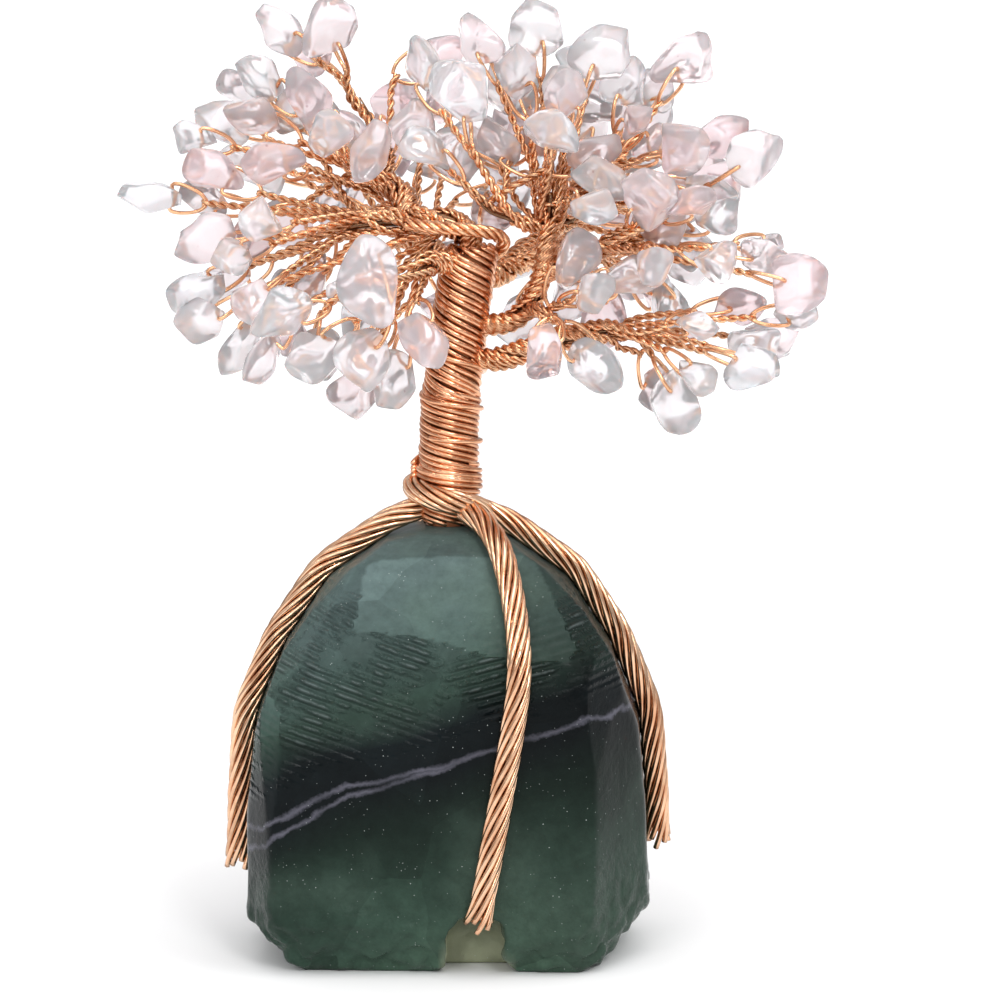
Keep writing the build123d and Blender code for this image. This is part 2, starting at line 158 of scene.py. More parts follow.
# The block from the frame, in grains fine enough to wear down, rounded a little on the wheel.
MM = 1000    # in a metre
STONE_GRAIN = 0.0006
WHEEL_PASSES = 14
stone_shape = bmesh.new()
stone_shape.from_mesh(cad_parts["base_stone"].data)
bmesh.ops.remove_doubles(stone_shape, verts=stone_shape.verts, dist=1e-7)
stone_mesh = bpy.data.meshes.new("stone_block")
stone_shape.to_mesh(stone_mesh)
stone_shape.free()
stone_block = bpy.data.objects.new("stone_block", stone_mesh)
bpy.context.scene.collection.objects.link(stone_block)
grain = stone_block.modifiers.new("grain", "REMESH")
grain.mode = "VOXEL"
grain.voxel_size = STONE_GRAIN
wheel = stone_block.modifiers.new("wheel", "SMOOTH")
wheel.iterations = WHEEL_PASSES
wheel.factor = 0.5
worn = bpy.data.meshes.new_from_object(
    stone_block.evaluated_get(bpy.context.evaluated_depsgraph_get()))
bpy.data.objects.remove(stone_block)

# Flats ground on the dome and knocked off the lower edge, in mm: each has the compass and climb
# of its face in degrees, the depth taken off, and how much brighter or darker it is, as painted
# sheen where brighter and painted shade where darker.
SWELL, SWELL_WIDTH = 0.55, 14
FLAT_EDGE = 0.04
GROUND = (
    (-138, 40, 1.7, 0.10), (-50, 42, 1.8, -0.10), (-112, 22, 1.0, -0.18), (-66, 24, 1.0, -0.25),
    (-170, 44, 0.8, 0.0), (-14, 46, 0.9, -0.1), (-87, 37, 1.8, 0.45), (92, 46, 1.6, 0.1),
    (140, 40, 1.4, 0.0), (45, 38, 1.4, 0.0), (-116, 38, 1.7, -0.05), (-90, 2, 0.5, 0.0),
    (-136, 3, 1.0, 0.45), (-38, 5, 1.0, 0.25),
)
CHIPPED = [(222.5 * blow, -24 - 30 * scattered(blow, 0.754), 0.5 + 1.9 * scattered(blow, 0.569), 0.0)
           for blow in range(40)]
spots = np.array([vertex.co for vertex in worn.vertices]) * MM
normals = np.array([vertex.normal for vertex in worn.vertices])
swell = np.array([SWELL * noise.noise(Vector(spot) / SWELL_WIDTH) for spot in spots])
standing = np.clip(spots[:, 2], 0, 1)
spots += normals * (swell * standing)[:, None]
# The painted sheen and painted shade of each flat, kept on the corners of the mesh.
flat_sheen_and_shade = np.zeros(len(spots))
for flats in (GROUND, CHIPPED):
    before = spots.copy()
    for compass, climb, depth, tone in flats:
        level = math.cos(math.radians(climb))
        facing = np.array((math.cos(math.radians(compass)) * level,
                           math.sin(math.radians(compass)) * level, math.sin(math.radians(climb))))
        proud = np.clip(spots @ facing - (before @ facing).max() + depth, 0, None)
        flat_sheen_and_shade[proud > FLAT_EDGE] = tone
        spots -= proud[:, None] * facing
worn.vertices.foreach_set("co", (spots / MM).ravel())
worn.update()

# The split lower edge, in mm: shells, flakes and tears by width, lift and mean, over a fine grain.
SPLIT_TOP, SPLIT_FADE, FOOT_EDGE = 17, 14, 1.2
SHELL_WIDTH, SHELL_LIFT, SHELL_MEAN = 6.5, 1.3, 0.40
FLAKE_WIDTH, FLAKE_LIFT, FLAKE_MEAN = 2.6, 0.6, 0.36
TEAR_WIDTH, TEAR_LIFT, TEAR_MEAN = 3.4, 1.8, 0.22
GRAIN_WIDTH, GRAIN_LIFT = 1.1, 0.03
normals = np.array([vertex.normal for vertex in worn.vertices])
for number, (spot, normal) in enumerate(zip(spots, normals)):
    at = Vector(spot)
    low = max(0.0, min(1.0, (SPLIT_TOP - at.z) / SPLIT_FADE))
    shell = noise.voronoi(at / SHELL_WIDTH)[0][0] - SHELL_MEAN
    flake = noise.voronoi(at / FLAKE_WIDTH)[0][0] - FLAKE_MEAN
    torn = abs(noise.noise(at / TEAR_WIDTH)) - TEAR_MEAN
    lift = low * (SHELL_LIFT * low * shell + FLAKE_LIFT * flake + TEAR_LIFT * low * torn)
    lift += GRAIN_LIFT * noise.noise(at / GRAIN_WIDTH)
    spots[number] += normal * lift * max(0.0, min(1.0, at.z / FOOT_EDGE))
spots[:, 2] = np.clip(spots[:, 2], 0, None)
worn.vertices.foreach_set("co", (spots / MM).ravel())
worn.attributes.new("facet", "FLOAT", "POINT").data.foreach_set("value", flat_sheen_and_shade)
worn.update()
worn.shade_smooth()

# Specks, a mask of small grains in patches: glints in the stone and rust flecks in the chips.
SPECK_HEART, SPECK_RIM = 0.05, 0.11
specks, asked, given = new_group("specks", {
    "Place": "Vector", "Fineness": "Float", "Strength": "Float", "Patches": "Float", "Detail": "Float",
    "Bare": "Float", "Full": "Float"}, {"Mask": "Float"})
speck = add_node(specks, "ShaderNodeTexVoronoi", {
    "Vector": asked["Place"], "Scale": asked["Fineness"]}).outputs["Distance"]
speck = fade(specks, speck, SPECK_HEART, SPECK_RIM, asked["Strength"], 0.0)
strewn = blotches(specks, asked["Place"], asked["Patches"], asked["Detail"])
strewn = fade(specks, strewn, asked["Bare"], asked["Full"])
specks.links.new(overlap(specks, speck, strewn), given["Mask"])

# The body of the stone: layers of green on both sides of the vein, which is a shallow arch, with
# milky clouds, cleavage blocks and mottling. All places are in mm.
VEIN_HEIGHT, VEIN_SLOPE, VEIN_ARCH = 31.5, 0.30, -0.0028
LAYER_REACH = 34.0
LAYERS = (
    (0.0, (0.060, 0.106, 0.074)), (0.18, (0.028, 0.052, 0.038)), (0.38, (0.008, 0.016, 0.012)),
    (0.485, (0.004, 0.006, 0.007)), (0.575, (0.005, 0.008, 0.009)), (0.65, (0.026, 0.046, 0.036)),
    (0.74, (0.042, 0.068, 0.060)), (1.0, (0.078, 0.110, 0.110)),
)
CLOUD_GREEN = (0.075, 0.118, 0.092, 1)
fluorite, tree, surface = new_material("fluorite")
in_mm = scaled(tree, add_node(tree, "ShaderNodeTexCoord").outputs["Object"], MM)
straight = add_node(tree, "ShaderNodeSeparateXYZ", {0: in_mm}).outputs
drift = add_node(tree, "ShaderNodeTexNoise", {
    "Vector": in_mm, "Scale": 0.07, "Detail": 2.0}).outputs["Color"]
drift = add_node(tree, "ShaderNodeVectorMath", {0: drift, 1: (0.5, 0.5, 0.5)},
                 operation="SUBTRACT").outputs[0]
bent = add_node(tree, "ShaderNodeVectorMath", {0: drift, 1: (6, 6, 6), 2: in_mm},
                operation="MULTIPLY_ADD").outputs[0]
wavy = add_node(tree, "ShaderNodeSeparateXYZ", {0: bent}).outputs
arch = work_out(tree, "MULTIPLY_ADD", wavy["X"], VEIN_ARCH, VEIN_SLOPE)
arch = work_out(tree, "MULTIPLY_ADD", arch, wavy["X"], VEIN_HEIGHT)
above_vein = work_out(tree, "SUBTRACT", wavy["Z"], arch)
layered = ramp(tree, fade(tree, above_vein, -LAYER_REACH, LAYER_REACH), LAYERS)
cloud = fade(tree, blotches(tree, bent, 0.060, 2.0, 0.45), 0.50, 0.95)
off_vein = fade(tree, work_out(tree, "ABSOLUTE", above_vein), 5.0, 15.0)
cloudy = lay_over(tree, overlap(tree, cloud, off_vein), layered, CLOUD_GREEN)
cleaved = add_node(tree, "ShaderNodeTexVoronoi", {
    "Vector": bent, "Scale": 0.075, "Randomness": 0.9}).outputs["Color"]
cleaved = fade(tree, cleaved, 0.0, 1.0, 0.74, 1.28)
mottled = fade(tree, blotches(tree, in_mm, 0.55, 6.0, 0.7), 0.3, 0.7, 0.80, 1.20)
# The flats' painted sheen and painted shade, read back from the mesh.
facet = add_node(tree, "ShaderNodeAttribute", attribute_name="facet").outputs["Fac"]
# Colour strength from cleavage blocks and mottling, raised by each flat's painted sheen and lowered by its
# painted shade.
depth = work_out(tree, "MULTIPLY", cleaved, mottled)
depth = work_out(tree, "MULTIPLY_ADD", depth, facet, depth)
darker_right = fade(tree, wavy["X"], 4.0, 18.0, 1.0, 0.62)
depth = work_out(tree, "MULTIPLY", depth, darker_right)
stone_colour = scaled(tree, cloudy, depth)

# The notch under the front root: a painted glow of light coming through the thin stone, pale green and
# palest near the foot.
NOTCH_MIDDLE = 4.2
NOTCH_GLOW_GREEN = (0.36, 0.385, 0.26, 1)
from_notch = work_out(tree, "ABSOLUTE", work_out(tree, "SUBTRACT", straight["X"], NOTCH_MIDDLE))
notch_glow_mask = overlap(tree, fade(tree, straight["Y"], -20.5, -16.0), fade(tree, from_notch, 5.6, 4.4),
               fade(tree, straight["Z"], 9.0, 4.0), fade(tree, straight["Y"], -6.0, -9.0))
# Painted light: the notch's pale glow laid over the stone.
stone_colour = lay_over(tree, notch_glow_mask, stone_colour, NOTCH_GLOW_GREEN)

# The vein, a ragged line that splits in two towards the left, and glints of broken crystal.
VEIN_VIOLET = (0.130, 0.128, 0.160, 1)
GLINT = (0.62, 0.68, 0.66, 1)
ragged = fade(tree, blotches(tree, in_mm, 0.45, 5.0, 0.65), 0.0, 1.0, -1.0, 1.0)
ragged = work_out(tree, "ADD", ragged, above_vein)
parted = fade(tree, wavy["X"], 4.0, -24.0, 0.0, 2.6)
upper_line = work_out(tree, "ABSOLUTE", ragged)
lower_line = work_out(tree, "ABSOLUTE", work_out(tree, "ADD", ragged, parted))
vein = fade(tree, work_out(tree, "MINIMUM", upper_line, lower_line), 0.05, 0.62, 1.0, 0.0)
patchy = fade(tree, blotches(tree, in_mm, 0.16, 4.0), 0.35, 0.65, 0.22, 0.72)
stone_colour = lay_over(tree, overlap(tree, vein, patchy), stone_colour, VEIN_VIOLET)
glints = add_node(tree, "ShaderNodeGroup", {
    "Place": in_mm, "Fineness": 1.5, "Strength": 1.0, "Patches": 0.5, "Detail": 3.0,
    "Bare": 0.50, "Full": 0.66}, node_tree=specks).outputs["Mask"]
stone_colour = lay_over(tree, glints, stone_colour, GLINT)

# Ridges left by the wheel, slanted each way on the two sides, with a painted grey sheen on their crests,
# and pits in the split edge.
RIDGE_SLANTS = (-0.34, 0.24)
RIDGE_SHEEN_GREY = (0.36, 0.42, 0.42, 1)
RIDGE_DEPTH = 2.2
strokes = []
for slant in RIDGE_SLANTS:
    turned = add_node(tree, "ShaderNodeMapping", {
        "Vector": in_mm, "Rotation": (0.0, slant, 0.15)}).outputs[0]
    strokes.append(add_node(tree, "ShaderNodeTexWave", {
        "Vector": turned, "Scale": 0.27, "Distortion": 2.0, "Detail": 4.0, "Detail Scale": 0.25,
    }, bands_direction="Z").outputs["Fac"])
side = fade(tree, wavy["X"], -2.0, 1.0)
ridge = add_node(tree, "ShaderNodeMix", {"Factor": side, 2: strokes[0], 3: strokes[1]},
                 data_type="FLOAT").outputs[0]
ridged = fade(tree, blotches(tree, in_mm, 0.14, 5.0, 0.62), 0.44, 0.60)
below_top = fade(tree, straight["Z"], 56.0, 50.0)
over_vein = fade(tree, above_vein, 3.0, 9.0)
# The ridges fade out on the flats that carry the most painted sheen.
off_sheen_flats = fade(tree, facet, 0.20, 0.4, 1.0, 0.12)
ridge = overlap(tree, ridge, overlap(tree, ridged, below_top, over_vein, off_sheen_flats))
pitted = fade(tree, straight["Z"], 10.0, 20.0, 0.45, 0.10)
relief = work_out(tree, "MULTIPLY_ADD", blotches(tree, in_mm, 1.1, 5.0, 0.6), pitted,
                  work_out(tree, "MULTIPLY", ridge, RIDGE_DEPTH))
# Painted sheen: light grey laid along the crests of the ridges.
crest_sheen = fade(tree, ridge, 0.45, 0.95, 0.0, 0.16)
stone_colour = lay_over(tree, crest_sheen, stone_colour, RIDGE_SHEEN_GREY)
dents = add_node(tree, "ShaderNodeBump", {"Strength": 0.85, "Distance": 0.0006, "Height": relief})
rough = fade(tree, straight["Z"], 34.0, 50.0, 0.16, 0.34)
tree.links.new(stone_colour, surface.inputs["Base Color"])
tree.links.new(rough, surface.inputs["Roughness"])
tree.links.new(dents.outputs[0], surface.inputs["Normal"])
surface.inputs["Specular IOR Level"].default_value = 0.1
surface.inputs["IOR"].default_value = 1.43
place_piece("fluorite_stone", worn, fluorite, "base", ["base_stone"])


# Root cables. Four ropes of bare copper wire, laid by hand, that come out from under the trunk's
# winding, run down the four sides of the stone and end in cut, splayed strands.
def wire_bends(node, sides):
    """The middles of the bends of each wire in a node, from end to end, sorted so each run is the same."""
    fine = 1e7      # steps in a metre that tell corners apart
    even = 0.02     # share by which the edges of a cut end may differ
    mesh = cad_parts[node].data
    spots = [tuple(round(part * fine) for part in vertex.co) for vertex in mesh.vertices]
    touching = {}
    for face in mesh.polygons:
        for corner in face.vertices:
            touching.setdefault(spots[corner], set()).update(spots[other] for other in face.vertices)
    loose = bmesh.new()
    loose.from_mesh(mesh)
    waiting = set(loose.verts)
    ends = []
    while waiting:
        flat = {waiting.pop()}
        edge_of_flat = list(flat)
        while edge_of_flat:
            for edge in edge_of_flat.pop().link_edges:
                for vertex in edge.verts:
                    if vertex not in flat:
                        flat.add(vertex)
                        edge_of_flat.append(vertex)
        waiting -= flat
        rim = {edge for vertex in flat for edge in vertex.link_edges if edge.is_boundary}
        lengths = [edge.calc_length() for edge in rim]
        if len(flat) == sides and max(lengths) - min(lengths) < even * max(lengths):
            ends.append({spots[vertex.index] for vertex in flat})
    loose.free()
    wires = []
    used = set()
    for ring in ends:
        if ring & used:
            continue
        bends = []
        while ring:
            used |= ring
            bends.append(Vector(np.mean(list(ring), axis=0) / fine))
            ring = set().union(*(touching[spot] for spot in ring)) - used
        wires.append(bends if tuple(bends[0]) < tuple(bends[-1]) else bends[::-1])
    return sorted(wires, key=lambda bends: tuple(bends[0]))


def length_along(path):
    """The length of a path up to each of its points."""
    return np.concatenate([[0], np.cumsum(np.linalg.norm(np.diff(path, axis=0), axis=1))])


def smooth_route(points, step):
    """Evenly spaced points on the smooth line that a stiff wire takes past the given points."""
    curve = bpy.data.curves.new("route", "CURVE")
    curve.dimensions = "3D"
    spline = curve.splines.new("NURBS")
    spline.points.add(len(points) - 1)
    for knot, point in zip(spline.points, points):
        knot.co = (*point, 1)
    spline.order_u = 3
    spline.use_endpoint_u = True
    spline.resolution_u = 12
    holder = bpy.data.objects.new("route", curve)
    line = bpy.data.meshes.new_from_object(holder)
    path = np.array([vertex.co for vertex in line.vertices])
    bpy.data.objects.remove(holder)
    bpy.data.curves.remove(curve)
    bpy.data.meshes.remove(line)
    gone = length_along(path)
    marks = np.linspace(0, gone[-1], max(3, int(gone[-1] / step) + 1))
    return np.stack([np.interp(marks, gone, path[:, part]) for part in range(3)], axis=1)


def side_axes(path):
    """Two directions square to a path at each of its points, carried along without twist."""
    ahead = np.gradient(path, axis=0)
    ahead /= np.linalg.norm(ahead, axis=1)[:, None]
    first = np.cross(ahead[0], (0.0, 0.0, 1.0) if abs(ahead[0][2]) < 0.9 else (1.0, 0.0, 0.0))
    across = [first / np.linalg.norm(first)]
    for here in ahead[1:]:
        turned_on = across[-1] - here * np.dot(across[-1], here)
        across.append(turned_on / np.linalg.norm(turned_on))
    across = np.array(across)
    return across, np.cross(ahead, across)


def lay_round(path, reach, start, lay):
    """A line that winds round a path at a reach, once in each length of lay."""
    across, over = side_axes(path)
    turn = (start + 2 * math.pi * length_along(path) / lay)[:, None]
    reach = np.broadcast_to(reach, (len(path),))[:, None]
    return path + reach * (across * np.cos(turn) + over * np.sin(turn))


def new_bundle():
    """A bundle that holds no wire yet."""
    return {"points": [], "faces": [], "shades": []}


def draw_wire(bundle, path, radius, sides=6, shade=1.0):
    """Add one round wire along a path to a bundle of wires, with its own share of brightness."""
    across, over = side_axes(path)
    base = len(bundle["points"])
    for at, one, other, thick in zip(path, across, over, np.broadcast_to(radius, (len(path),))):
        for side in range(sides):
            turn = 2 * math.pi * side / sides
            bundle["points"].append(at + thick * (one * math.cos(turn) + other * math.sin(turn)))
    bundle["shades"].extend([shade] * (len(path) * sides))
    for ring in range(len(path) - 1):
        for side in range(sides):
            here = base + ring * sides + side
            beside = base + ring * sides + (side + 1) % sides
            bundle["faces"].append((here, beside, beside + sides, here + sides))
    bundle["faces"].append(tuple(base + side for side in reversed(range(sides))))
    last = base + (len(path) - 1) * sides
    bundle["faces"].append(tuple(last + side for side in range(sides)))


def strand_shade(number, middle, swing):
    """The brightness of one strand among its neighbours."""
    return middle + swing * math.sin(number * 2.4)


def bundle_mesh(name, bundle):
    """The mesh of a bundle of wires."""
    mesh = bpy.data.meshes.new(name)
    mesh.from_pydata([tuple(point) for point in bundle["points"]], [], bundle["faces"])
    mesh.attributes.new("shade", "FLOAT", "POINT").data.foreach_set("value", bundle["shades"])
    mesh.update()
    mesh.shade_smooth()
    return mesh


# Copper that has dulled in patches, for every wire on the tree.
wire_age, asked, given = new_group(
    "wire_age", {"Bright": "Color", "Dull": "Color", "Spread": "Float"},
    {"Colour": "Color", "Roughness": "Float"})
wire_place = add_node(wire_age, "ShaderNodeTexCoord").outputs["Object"]
patch = blotches(wire_age, wire_place, asked["Spread"], 4.0, 0.6)
dullness = fade(wire_age, patch, 0.42, 0.68)
wire_age.links.new(lay_over(wire_age, dullness, asked["Bright"], asked["Dull"]), given["Colour"])
wire_age.links.new(fade(wire_age, patch, 0.35, 0.7, 0.12, 0.28), given["Roughness"])


def copper(name, bright, dull, spread):
    """Bare drawn copper wire with its own brightness."""
    material, tree, surface = new_material(name)
    age = add_node(tree, "ShaderNodeGroup", {
        "Bright": (*bright, 1), "Dull": (*dull, 1), "Spread": spread}, node_tree=wire_age).outputs
    shade = add_node(tree, "ShaderNodeAttribute", attribute_name="shade").outputs["Fac"]
    tree.links.new(scaled(tree, age["Colour"], shade), surface.inputs["Base Color"])
    tree.links.new(age["Roughness"], surface.inputs["Roughness"])
    surface.inputs["Metallic"].default_value = 1.0
    return material


# The ropes' copper is lighter than the winding's, partly the wire's own tone and partly a painted highlight
# on the roots.
rope_copper = copper("rope_copper", (0.99, 0.64, 0.42), (0.66, 0.33, 0.18), 160.0)
ROOT_STRANDS = 9
ROOT_WIRE = 0.00042
ROOT_REACH = 0.00138
ROOT_LAY = 0.027
ROOT_STEP = 0.0007
# Painted shade: the heart wire of each rope and cable is darkened to stand for the shade deep between its
# strands.
HEART_SHADE = 0.25
SPLAY_START, SPLAY_LENGTH = 0.94, 0.06
SPLAY, FRONT_SPLAY = 0.16, 0.42
# How far in under the winding and how far up a root starts, and the turn that the right root takes
# round the trunk's foot: each point's turn in degrees, height and reach.
TUCKED_IN = ((0.0035, 0.0045), (0.0022, 0.001))
FOOT_TURN = (
    (95, 0.0678, 0.0012), (130, 0.0676, 0.0030), (165, 0.0673, 0.0050), (190, 0.0670, 0.0052),
    (215, 0.0666, 0.0052), (250, 0.0658, 0.0052), (285, 0.0651, 0.0052), (318, 0.0645, 0.0052),
)
stone_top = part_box("base_stone")[1].z
stone_face = BVHTree.FromPolygons([tuple(spot / MM) for spot in spots],
                                  [tuple(face.vertices) for face in worn.polygons])


def rest_on_stone(path, gap):
    """Lay a path on the stone, the gap from its face, from where it has left the trunk."""
    trunk_room = 0.009
    below_top = 0.0005
    laid = np.array(path)
    for number, point in enumerate(path):
        if point[2] < stone_top - below_top or math.hypot(point[0], point[1]) > trunk_room:
            seat = stone_face.find_nearest(Vector(point))[0]
            laid[number] = seat + (Vector(point) - seat).normalized() * gap
    for _ in range(6):
        laid[1:-1] = (laid[:-2] + 2 * laid[1:-1] + laid[2:]) / 4
    return laid


trunk_foot = Vector((0, 0, stone_top))
for root_name in ("left_root", "right_root", "front_root", "back_root"):
    bends = wire_bends(root_name, 6)[0]
    if (bends[0] - trunk_foot).length > (bends[-1] - trunk_foot).length:
        bends.reverse()
    inward = trunk_foot - bends[0]
    inward.z = 0
    inward.normalize()
    if root_name == "right_root":
        tucked = [Vector((reach * math.cos(math.radians(turn)), reach * math.sin(math.radians(turn)), rise))
                  for turn, rise, reach in FOOT_TURN]
    else:
        tucked = [bends[0] + inward * under + Vector((0, 0, up)) for under, up in TUCKED_IN]
    path = smooth_route(tucked + bends, ROOT_STEP)
    path = rest_on_stone(path, ROOT_REACH + ROOT_WIRE * 0.9)
    opened = np.clip((np.linspace(0, 1, len(path)) - SPLAY_START) / SPLAY_LENGTH, 0, 1) ** 1.5
    splay = ROOT_REACH * (1 + (FRONT_SPLAY if root_name == "front_root" else SPLAY) * opened)
    rope = new_bundle()
    for strand in range(ROOT_STRANDS):
        start = 2 * math.pi * strand / ROOT_STRANDS
        cut = len(path) - (strand * 5) % 3
        draw_wire(rope, lay_round(path[:cut], splay[:cut], start, ROOT_LAY), ROOT_WIRE,
                  shade=strand_shade(strand, 0.9, 0.1))
    # The rope's heart, painted dark as the shade between its strands.
    draw_wire(rope, path[:-4], ROOT_REACH - ROOT_WIRE * 0.7, shade=HEART_SHADE)
    place_piece(root_name + "_rope", bundle_mesh(root_name, rope), rope_copper, "base",
                [root_name])


# Trunk. The ends of all the twisted wires stand together in the middle, and bare wires, many side
# by side, are wound round them by hand in bands from the stone up to the lowest bough. A few
# stray wires cross the bands, and cut ends stick out over the roots.
# The core is painted dark copper, a painted shade that shows deep between the wound wires.
trunk_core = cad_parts["trunk_core"]
trunk_core.data.materials.clear()
core_shade_copper, tree, surface = new_material("core_shade_copper")
surface.inputs["Base Color"].default_value = (0.22, 0.085, 0.04, 1)
surface.inputs["Metallic"].default_value = 1.0
surface.inputs["Roughness"].default_value = 0.4
trunk_core.data.materials.append(core_shade_copper)
winding_copper = copper("winding_copper", (0.92, 0.50, 0.30), (0.55, 0.24, 0.12), 240.0)
TRUNK_STEP = 0.0005
TRUNK_LINE = smooth_route(
    [(0, 0, 0.0600), (0.0, 0, 0.0720), (0.0008, 0, 0.0860), (0.0034, 0, 0.1020)], TRUNK_STEP)
WINDING_WIRE = 0.00040
WINDING_SIDES = 7
STEPS_IN_A_TURN = 26
WANDER, UNEVEN = 0.16, 0.00022
TUCK_DEPTH, TUCK_LENGTH = 0.0009, 0.0012
# Bands: wires side by side, lowest and highest point, slope in degrees and reach.
BANDS = ((8, 0.0618, 0.0815, 14, 0.00392), (13, 0.0790, 0.1013, 25, 0.00378),
         (5, 0.0652, 0.0705, 9, 0.00455))
# Strays: height where each starts, how far it comes down, and the turn where it starts.
STRAYS = ((0.0805, 0.0034, 2.6), (0.0742, 0.0016, 3.9), (0.0708, 0.0028, 1.2), (0.0875, 0.0060, 2.9))
STRAY_TURN, STRAY_REACH, STRAY_BOW = 5.2, 0.00395, 0.00052
CUT_ENDS = 9


def round_trunk(rise, turn, reach):
    """A point round the trunk at a height, turned to the left from the right-hand side."""
    middle = np.interp(rise, TRUNK_LINE[:, 2], TRUNK_LINE[:, 0])
    return np.array((middle + reach * math.cos(turn), reach * math.sin(turn), rise))


winding = new_bundle()
for abreast, low, high, slope, reach in BANDS:
    pitch = abreast * 2 * WINDING_WIRE / math.cos(math.radians(slope))
    rises = np.linspace(low, high, int((high - low) / pitch * STEPS_IN_A_TURN))
    for wire in range(abreast):
        line = []
        for rise in rises:
            turn = 2 * math.pi * (wire / abreast - (rise - low) / pitch)
            turn += WANDER * noise.noise((wire * 1.3, rise * 260, 0.5))
            tuck = (TUCK_DEPTH * max(0.0, 1 - (rise - low) / TUCK_LENGTH)
                    + TUCK_DEPTH * max(0.0, 1 - (high - rise) / TUCK_LENGTH))
            loose = UNEVEN * noise.noise((wire * 2.1, rise * 330, 3.5))
            line.append(round_trunk(rise, turn, reach - tuck + loose))
        draw_wire(winding, np.array(line), WINDING_WIRE, WINDING_SIDES, strand_shade(wire, 0.92, 0.12))
for rise, drop, start in STRAYS:
    line = [round_trunk(rise - drop * share, start + STRAY_TURN * share,
                        STRAY_REACH + STRAY_BOW * math.sin(math.pi * share) ** 0.5)
            for share in np.linspace(0, 1, 34)]
    draw_wire(winding, np.array(line), WINDING_WIRE, WINDING_SIDES)
for stub in range(CUT_ENDS):
    turn = math.radians(165 + 34 * scattered(stub, 0.618))
    rise = 0.0672 + 0.0046 * scattered(stub, 0.382)
    line = [round_trunk(rise - 0.0003 * step, turn - 0.30 + 0.13 * step, 0.0041 + 0.00026 * step)
            for step in range(5)]
    draw_wire(winding, np.array(line), WINDING_WIRE, WINDING_SIDES)
place_piece("trunk_winding", bundle_mesh("trunk_winding", winding), winding_copper, "base",
            ["trunk_wrap"])


# Boughs and twigs. Each twig is one fine wire, folded through a drilled chip and twisted back on
# itself; the twigs of a spray are gathered and laid into the bough's cable.
twig_copper = copper("twig_copper", (0.98, 0.58, 0.34), (0.66, 0.31, 0.16), 200.0)
TWIG_WIRE = 0.00030
TWIST = 0.0030
CABLE_LAY = 0.014
# The sprays of twigs, each with the body that it rides on.
SPRAYS = {
    "left_bough": "left_bough", "left_upper_branch": "left_bough", "left_top_branch": "left_bough",
    "left_low_bough": "left_low_bough", "right_bough": "right_bough", "top_left_branch": "right_bough",
    "right_upper_branch": "right_bough", "right_middle_branch": "right_bough",
    "right_under_branch": "right_bough", "right_low_bough": "right_low_bough",
    "back_left_bough": "back_left_bough", "back_right_bough": "back_right_bough",
}
# The chips that hang free, and how much longer some of them are along x, y and z.
HUNG = ("left_front_chip", "long_front_chip", "trunk_front_chip", "top_front_chip", "right_low_front_chip",
        "right_low_outer_chip", "back_left_chip", "back_right_chip", "left_upper_chip", "crown_chip",
        "right_upper_chip", "pink_front_chip")
HUNG_PLACES = {hung: sum(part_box(hung), Vector()) / 2 for hung in HUNG}
HUNG_SHAPE = {"long_front_chip": (-0.30, -0.40, 0.42), "top_front_chip": (0.25, 0.0, 0.35),
              "trunk_front_chip": (0.0, 0.0, 0.3), "pink_front_chip": (0.0, -0.1, 0.3)}
SAME_PLACE = 0.0025
CHIP_SIZE = np.array((0.0084, 0.0069, 0.0047))
CHIP_FACE = 0.60        # thickness of a chip at its hole, as a share of its middle's
HOLE_EDGE = 0.0021      # from a chip's end to its hole
LOOP_NECK = 0.0024      # from a chip's end to where its loop closes
LOOP_ROOM, LOOP_SHARE = 0.00085, 0.45
WIRE_STEP = 0.0005
chips = []
spines = {}
for spray in SPRAYS:
    cable = wire_bends(spray + "_cable", 6)[0]
    twigs = wire_bends(spray + "_twigs", 4)
    tips = [twig[end] for twig in twigs for end in (0, -1)]
    if min((tip - cable[0]).length for tip in tips) < min((tip - cable[-1]).length for tip in tips):
        cable.reverse()
    in_trunk = cable[0] + (cable[0] - cable[1]).normalized() * 0.002
    spines[spray] = smooth_route([in_trunk] + cable, WIRE_STEP)
    for twig in twigs:
        if (twig[0] - cable[-1]).length > (twig[-1] - cable[-1]).length:
            twig.reverse()
        foot, _, neck, hole_in, hole_out, _ = twig
        hole = (hole_in + hole_out) / 2
        outward = (hole - neck).normalized()
        size = ((hole_in - hole_out).length / 2 - LOOP_ROOM) / (LOOP_SHARE * CHIP_SIZE[2])
        middle = hole + outward * (CHIP_SIZE[0] * size / 2 - HOLE_EDGE)
        nearest = min(HUNG, key=lambda hung: (HUNG_PLACES[hung] - middle).length)
        if (HUNG_PLACES[nearest] - middle).length > SAME_PLACE:
            nearest = None
        chips.append({"spray": spray, "middle": middle, "outward": outward, "size": size, "hung": nearest,
                      "across": (hole_in - hole_out).normalized(), "foot": foot,
                      "ring": (foot - cable[-1]).length, "added": False})

# More twigs and chips round each fork, where the crown has room for them. Boxes are given by their
# lowest and highest corners: the crown, and the gaps in it that stay open.
TRIES = 240
TURNED_BACK = -0.25
TRUNK_LEAN, TRUNK_ROOM = 0.003, 0.011
CABLE_ROOM = 0.0055
CHIP_ROOM, OTHER_BODY_ROOM = 0.0066, 0.0098
TWIG_ROOM, TWIG_END = 0.0057, 0.004
CROWN = (Vector(cad_box[0]) + Vector((0.006, 0.006, 0.0845)),
         Vector(cad_box[1]) - Vector((0.006, 0.006, 0.0065)))
OPEN_GAPS = (((-0.030, -1, 0.086), (0.017, 0.003, 0.116)), ((-0.016, -1, 0.119), (-0.003, 1, 1)))


def in_box(point, box):
    """Whether a point lies in a box."""
    return all(low < part < high for low, part, high in zip(box[0], point, box[1]))


